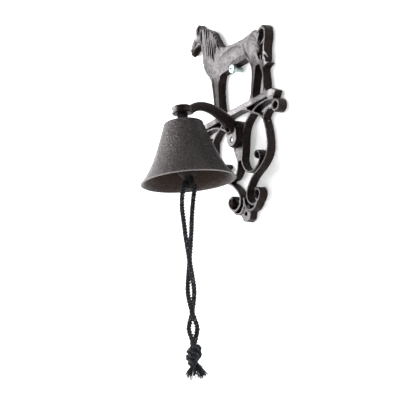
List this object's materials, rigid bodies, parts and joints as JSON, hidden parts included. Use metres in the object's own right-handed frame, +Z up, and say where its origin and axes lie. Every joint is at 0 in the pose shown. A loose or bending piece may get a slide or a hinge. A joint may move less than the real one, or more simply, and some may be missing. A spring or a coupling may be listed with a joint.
{
  "type": "wall mounted bell",
  "caption": "Cast-iron bell on a curved arm from a scrollwork wall plate topped by a standing horse, rung by a clapper with a twisted and knotted pull cord.",
  "frame": {"origin": "on the plate's flat back, behind the middle of the pad that carries the arm", "axes": "+Y into the wall, so the bell stands out towards -Y; +Z up; X across the wall, and the horse faces -X"},
  "size_m": [0.1431, 0.145, 0.3757],
  "materials": {
    "plate_iron": "sand cast, dark brown-grey, lighter on its crests",
    "bell_iron": "fine sand-cast grain, brown-grey",
    "zinc": "bright zinc plate",
    "dark_steel": "dull dark steel",
    "cord": "twisted black cord"
  },
  "bodies": {
    "bracket": {"wall_plate": "plate_iron", "bell_arm": "plate_iron", "arm_screw_upper": "zinc", "arm_screw_lower": "zinc", "wall_screw": "zinc", "bell": "bell_iron", "outer_crown_nut": "dark_steel", "outer_crown_washer": "dark_steel", "inner_crown_washer": "dark_steel", "inner_crown_nut": "dark_steel", "eye_bolt": "dark_steel"},
    "clapper_link": {"clapper_link": "dark_steel"},
    "clapper": {"clapper": "bell_iron"},
    "pull_cord": {"pull_cord": "cord", "cord_knot": "cord", "cord_frayed_ends": "cord"}
  },
  "joints": [
    {"name": "link_swing", "type": "hinge", "parent": "bracket", "child": "clapper_link", "pos_m": [0, -0.071, -0.01195], "axis": [1, 0, 0], "range_deg": [-24, 15]},
    {"name": "clapper_swing", "type": "hinge", "parent": "clapper_link", "child": "clapper", "pos_m": [0, -0.071, -0.0203], "axis": [0, 1, 0], "range_deg": [-28, 28]},
    {"name": "cord_swing", "type": "hinge", "parent": "clapper", "child": "pull_cord", "pos_m": [0, -0.071, -0.0515], "axis": [0, 1, 0], "range_deg": [-20, 20]}
  ]
}
